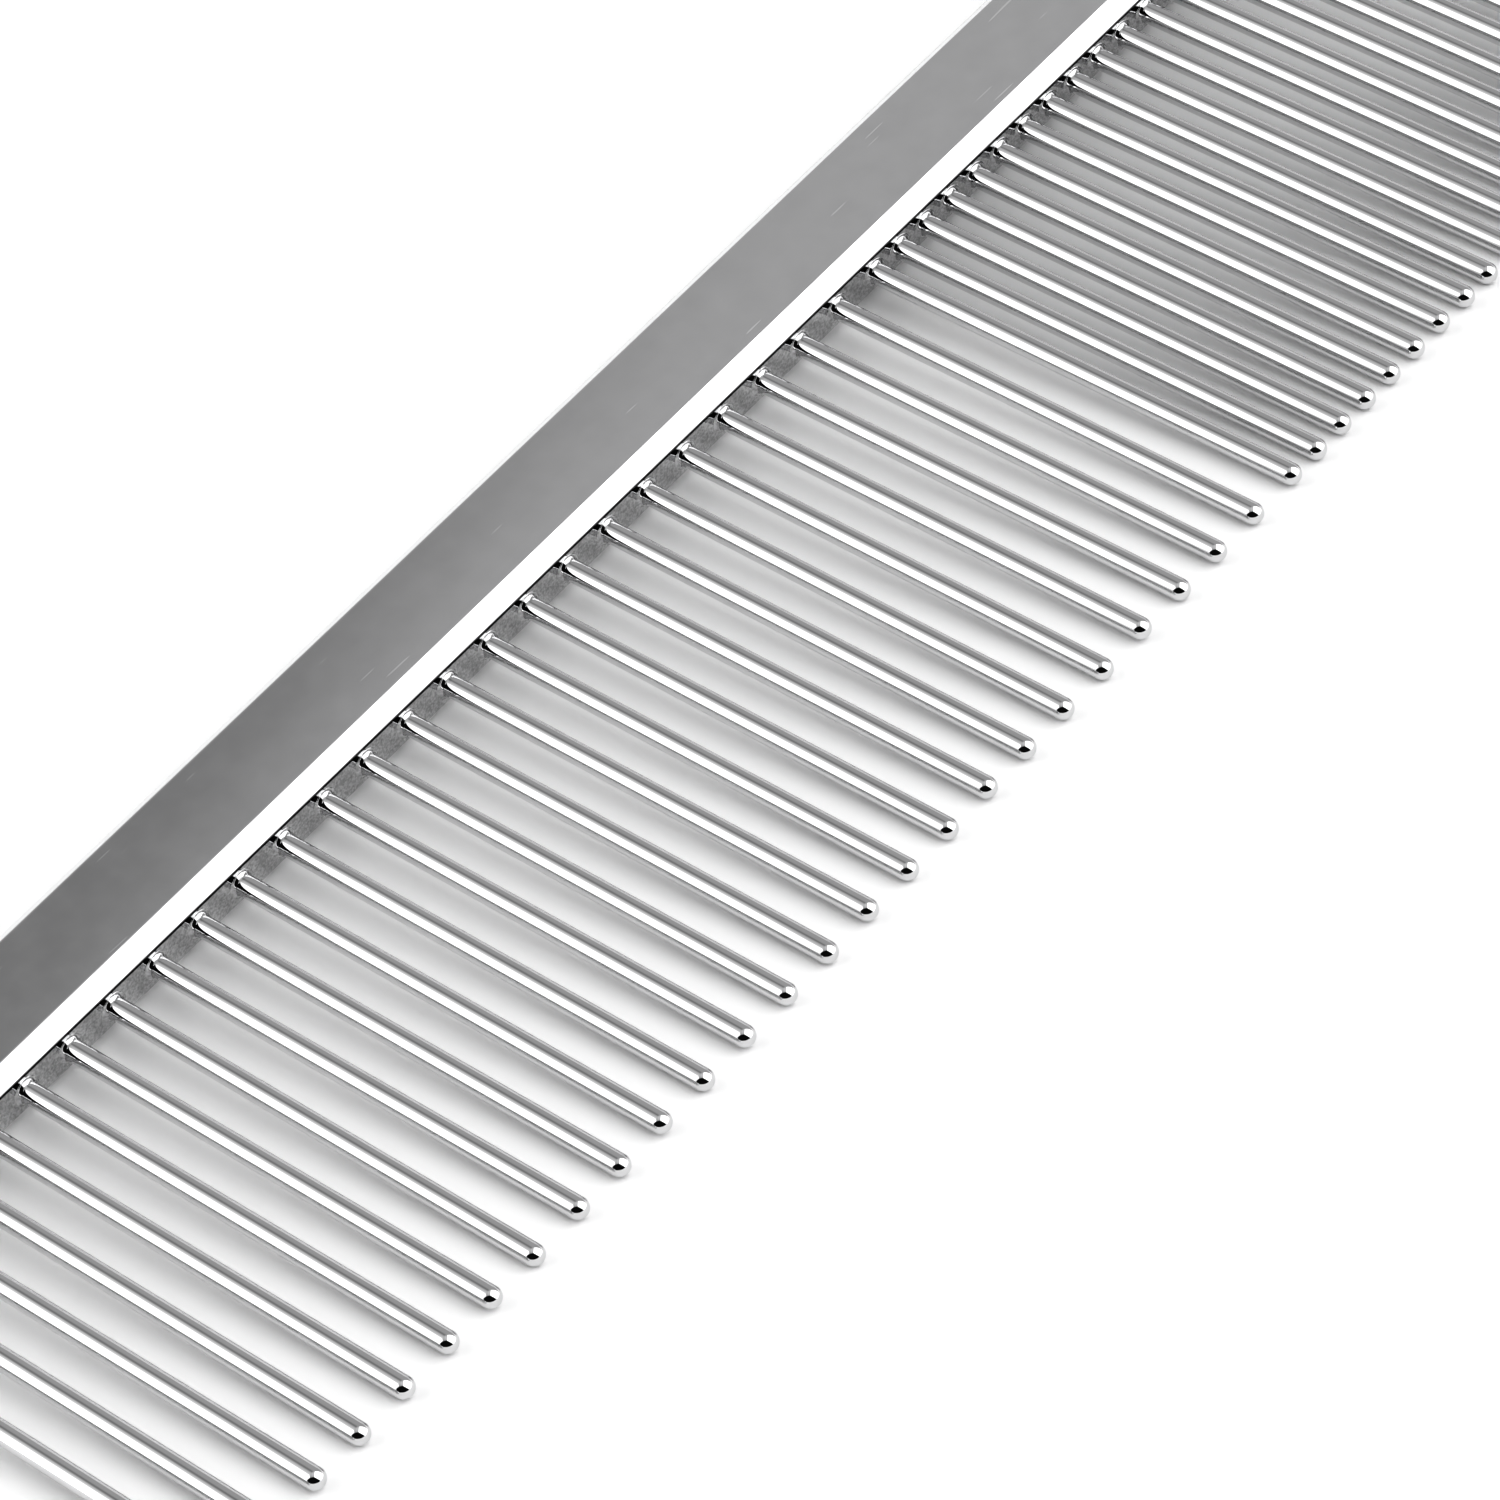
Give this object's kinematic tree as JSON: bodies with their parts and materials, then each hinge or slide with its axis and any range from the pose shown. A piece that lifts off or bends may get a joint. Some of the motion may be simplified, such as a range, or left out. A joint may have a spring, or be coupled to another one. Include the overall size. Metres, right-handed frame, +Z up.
{
  "type": "dematting comb",
  "caption": "Two-zone metal grooming comb for dematting: a bevelled plated spine bar with round dome-tipped pins, widely spaced along one half and closely spaced along the other.",
  "frame": {"origin": "centre of the comb's footprint (spine and pins together) in X and Y, on the plane of the spine's underside", "axes": "+X along the spine towards the closely spaced pins, -Y the way the pins point, +Z up through the thickness of the spine"},
  "size_m": [0.19, 0.0412, 0.0046],
  "materials": {
    "spine_plate": "bright nickel plate, satin on the broad faces, with fine handling scratches",
    "pin_plate": "mirror-polished plate"
  },
  "bodies": {
    "root": {"spine": "spine_plate", "coarse_pin_01": "pin_plate", "coarse_pin_02": "pin_plate", "coarse_pin_03": "pin_plate", "coarse_pin_04": "pin_plate", "coarse_pin_05": "pin_plate", "coarse_pin_06": "pin_plate", "coarse_pin_07": "pin_plate", "coarse_pin_08": "pin_plate", "coarse_pin_09": "pin_plate", "coarse_pin_10": "pin_plate", "coarse_pin_11": "pin_plate", "coarse_pin_12": "pin_plate", "coarse_pin_13": "pin_plate", "coarse_pin_14": "pin_plate", "coarse_pin_15": "pin_plate", "coarse_pin_16": "pin_plate", "coarse_pin_17": "pin_plate", "coarse_pin_18": "pin_plate", "coarse_pin_19": "pin_plate", "coarse_pin_20": "pin_plate", "coarse_pin_21": "pin_plate", "coarse_pin_22": "pin_plate", "coarse_pin_23": "pin_plate", "coarse_pin_24": "pin_plate", "coarse_pin_25": "pin_plate", "coarse_pin_26": "pin_plate", "fine_pin_01": "pin_plate", "fine_pin_02": "pin_plate", "fine_pin_03": "pin_plate", "fine_pin_04": "pin_plate", "fine_pin_05": "pin_plate", "fine_pin_06": "pin_plate", "fine_pin_07": "pin_plate", "fine_pin_08": "pin_plate", "fine_pin_09": "pin_plate", "fine_pin_10": "pin_plate", "fine_pin_11": "pin_plate", "fine_pin_12": "pin_plate", "fine_pin_13": "pin_plate", "fine_pin_14": "pin_plate", "fine_pin_15": "pin_plate", "fine_pin_16": "pin_plate", "fine_pin_17": "pin_plate", "fine_pin_18": "pin_plate", "fine_pin_19": "pin_plate", "fine_pin_20": "pin_plate", "fine_pin_21": "pin_plate", "fine_pin_22": "pin_plate", "fine_pin_23": "pin_plate", "fine_pin_24": "pin_plate", "fine_pin_25": "pin_plate", "fine_pin_26": "pin_plate", "fine_pin_27": "pin_plate", "fine_pin_28": "pin_plate", "fine_pin_29": "pin_plate", "fine_pin_30": "pin_plate", "fine_pin_31": "pin_plate", "fine_pin_32": "pin_plate", "fine_pin_33": "pin_plate"}
  },
  "joints": []
}
